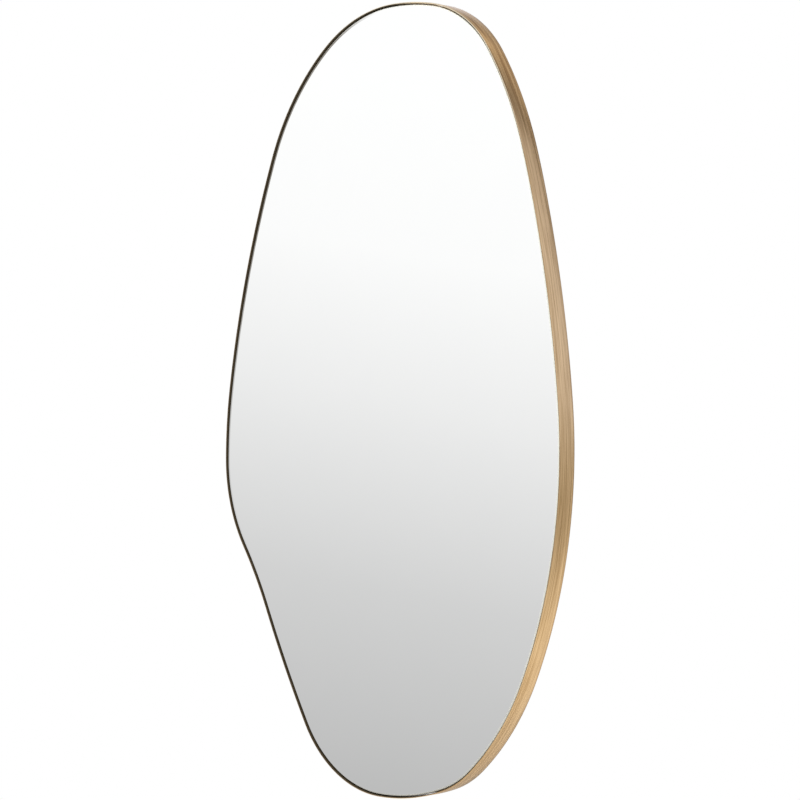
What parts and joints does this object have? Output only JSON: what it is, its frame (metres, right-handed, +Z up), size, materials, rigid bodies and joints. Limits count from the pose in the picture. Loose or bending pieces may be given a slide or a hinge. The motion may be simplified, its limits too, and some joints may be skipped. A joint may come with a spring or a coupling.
{
  "type": "wall mirror",
  "caption": "Wall mirror of free, asymmetric outline: silvered glass in a deep, narrow band with a brushed brass finish, on a fibreboard back with swinging D-ring hangers.",
  "frame": {"origin": "on the wall plane, the plane of the band's rear rim, midway across the width and midway up the height", "axes": "+Z up as the mirror hangs, +Y towards the wall, so the glass faces -Y; +X to the right seen from the front"},
  "size_m": [0.6, 0.026, 1],
  "materials": {
    "brushed_brass": "brushed lengthwise, satin",
    "silvered_glass": "polished, silvered behind",
    "fibreboard": "bare, sanded",
    "foam_tape": "closed-cell foam, matt",
    "plated_tab": "plated, unbrushed",
    "zinc_plate": "zinc plated, satin",
    "nickel_wire": "nickel plated, bright",
    "zinc_screw": "zinc plated"
  },
  "bodies": {
    "mirror": {"frame_band": "brushed_brass", "mirror_glass": "silvered_glass", "backing_board": "fibreboard", "tab_screws": "zinc_screw", "hanger_screws": "zinc_screw", "hanger_strap_left": "zinc_plate", "hanger_strap_right": "zinc_plate", "tab_foot_right": "plated_tab", "tab_right_low": "plated_tab", "tab_right_high": "plated_tab", "tab_crown_right": "plated_tab", "tab_crown_left": "plated_tab", "tab_shoulder": "plated_tab", "tab_bulge": "plated_tab", "tab_foot_left": "plated_tab", "tape_far_left": "foam_tape", "tape_mid_left": "foam_tape", "tape_mid_right": "foam_tape", "tape_far_right": "foam_tape"},
    "ring_left": {"hanger_ring_left": "nickel_wire"},
    "ring_right": {"hanger_ring_right": "nickel_wire"}
  },
  "joints": [
    {"name": "ring_left_swing", "type": "hinge", "parent": "mirror", "child": "ring_left", "pos_m": [-0.15, -0.00595, 0.25], "axis": [-1, 0, 0], "range_deg": [0, 182]},
    {"name": "ring_right_swing", "type": "hinge", "parent": "mirror", "child": "ring_right", "pos_m": [0.174, -0.00595, 0.25], "axis": [-1, 0, 0], "range_deg": [0, 182]}
  ]
}
